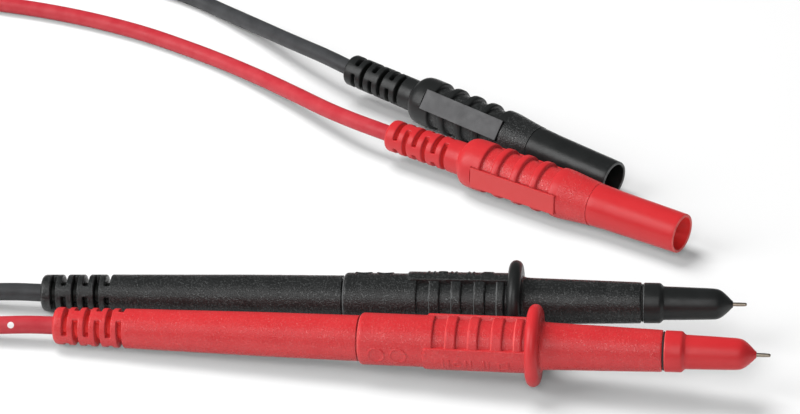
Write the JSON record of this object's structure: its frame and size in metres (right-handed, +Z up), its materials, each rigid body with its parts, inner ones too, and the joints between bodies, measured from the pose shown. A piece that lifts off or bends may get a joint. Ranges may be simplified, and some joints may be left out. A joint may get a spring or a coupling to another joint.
{
  "type": "multimeter test leads",
  "caption": "Pair of multimeter test leads, black and red, each with a needle probe with finger guard, a flexible cable and a shrouded 4 mm plug.",
  "frame": {"origin": "middle of the two probes' and two plugs' common bounding box, on the table they lie on", "axes": "+Z up; +X from the probes' cable ends towards their needles; +Y from the probes towards the plugs"},
  "size_m": [0.2538, 0.1802, 0.0157],
  "materials": {
    "black_plastic": "fine eroded texture",
    "black_nose": "satin",
    "black_shroud": "semi-gloss",
    "black_cable": "soft satin jacket",
    "red_plastic": "fine eroded texture",
    "red_nose": "satin",
    "red_shroud": "semi-gloss",
    "red_cable": "soft satin jacket",
    "seal": "smooth",
    "tie": "matt",
    "needle_steel": "ground",
    "spring_steel": "drawn wire",
    "contact_brass": "turned",
    "cage_brass": "stamped and plated",
    "pin_nickel": "nickel plated",
    "copper": "stranded copper"
  },
  "bodies": {
    "black_lead": {"black_rear_sleeve": "black_plastic", "black_grip_body": "black_plastic", "black_tip_spring": "spring_steel", "black_contact_tube": "contact_brass", "black_core_in_probe": "copper", "black_cable_in_probe": "black_cable", "black_plug_grip": "black_plastic", "black_plug_shroud": "black_shroud", "black_plug_pin": "pin_nickel", "black_contact_cage": "cage_brass", "black_core_in_plug": "copper", "black_cable_in_plug": "black_cable", "black_cord_probe_run": "black_cable", "black_cord_coil": "black_cable", "black_cord_plug_run": "black_cable", "black_coil_tie": "tie"},
    "black_tip": {"black_tip_needle": "needle_steel"},
    "black_nose_slide": {"black_nose_seal": "seal"},
    "black_nose": {"black_nose_cap": "black_nose"},
    "red_lead": {"red_rear_sleeve": "red_plastic", "red_grip_body": "red_plastic", "red_tip_spring": "spring_steel", "red_contact_tube": "contact_brass", "red_core_in_probe": "copper", "red_cable_in_probe": "red_cable", "red_plug_grip": "red_plastic", "red_plug_shroud": "red_shroud", "red_plug_pin": "pin_nickel", "red_contact_cage": "cage_brass", "red_core_in_plug": "copper", "red_cable_in_plug": "red_cable", "red_cord_probe_run": "red_cable", "red_cord_coil": "red_cable", "red_cord_plug_run": "red_cable", "red_coil_tie": "tie"},
    "red_tip": {"red_tip_needle": "needle_steel"},
    "red_nose_slide": {"red_nose_seal": "seal"},
    "red_nose": {"red_nose_cap": "red_nose"}
  },
  "joints": [
    {"name": "black_tip_plunge", "type": "slide", "parent": "black_lead", "child": "black_tip", "axis": [0.9936, -0.1034, 0.046], "range_m": [-0.002, 0], "stiffness_N_per_m": 250, "springref_m": 0.002, "deforming": ["black_tip_spring"]},
    {"name": "black_nose_travel", "type": "slide", "parent": "black_lead", "child": "black_nose_slide", "axis": [0.9936, -0.1034, 0.046], "range_m": [0, 0.003]},
    {"name": "black_nose_turn", "type": "hinge", "parent": "black_nose_slide", "child": "black_nose", "pos_m": [0.04744, -0.04017, 0.00897], "axis": [0.9936, -0.1034, 0.046], "range_deg": [0, 1440]},
    {"name": "red_tip_plunge", "type": "slide", "parent": "red_lead", "child": "red_tip", "axis": [0.9882, -0.1459, 0.046], "range_m": [-0.002, 0], "stiffness_N_per_m": 250, "springref_m": 0.002, "deforming": ["red_tip_spring"]},
    {"name": "red_nose_travel", "type": "slide", "parent": "red_lead", "child": "red_nose_slide", "axis": [0.9882, -0.1459, 0.046], "range_m": [0, 0.003]},
    {"name": "red_nose_turn", "type": "hinge", "parent": "red_nose_slide", "child": "red_nose", "pos_m": [0.05031, -0.05698, 0.00897], "axis": [0.9882, -0.1459, 0.046], "range_deg": [0, 1440]},
    {"name": "red_lead_lift", "type": "slide", "parent": "black_lead", "child": "red_lead", "axis": [0, 0, 1], "range_m": [0, 0.15]}
  ],
  "couplings": [
    {"joint": "black_nose_turn", "follows": "black_nose_travel", "rad_per_m": 8377.6},
    {"joint": "red_nose_turn", "follows": "red_nose_travel", "rad_per_m": 8377.6}
  ]
}
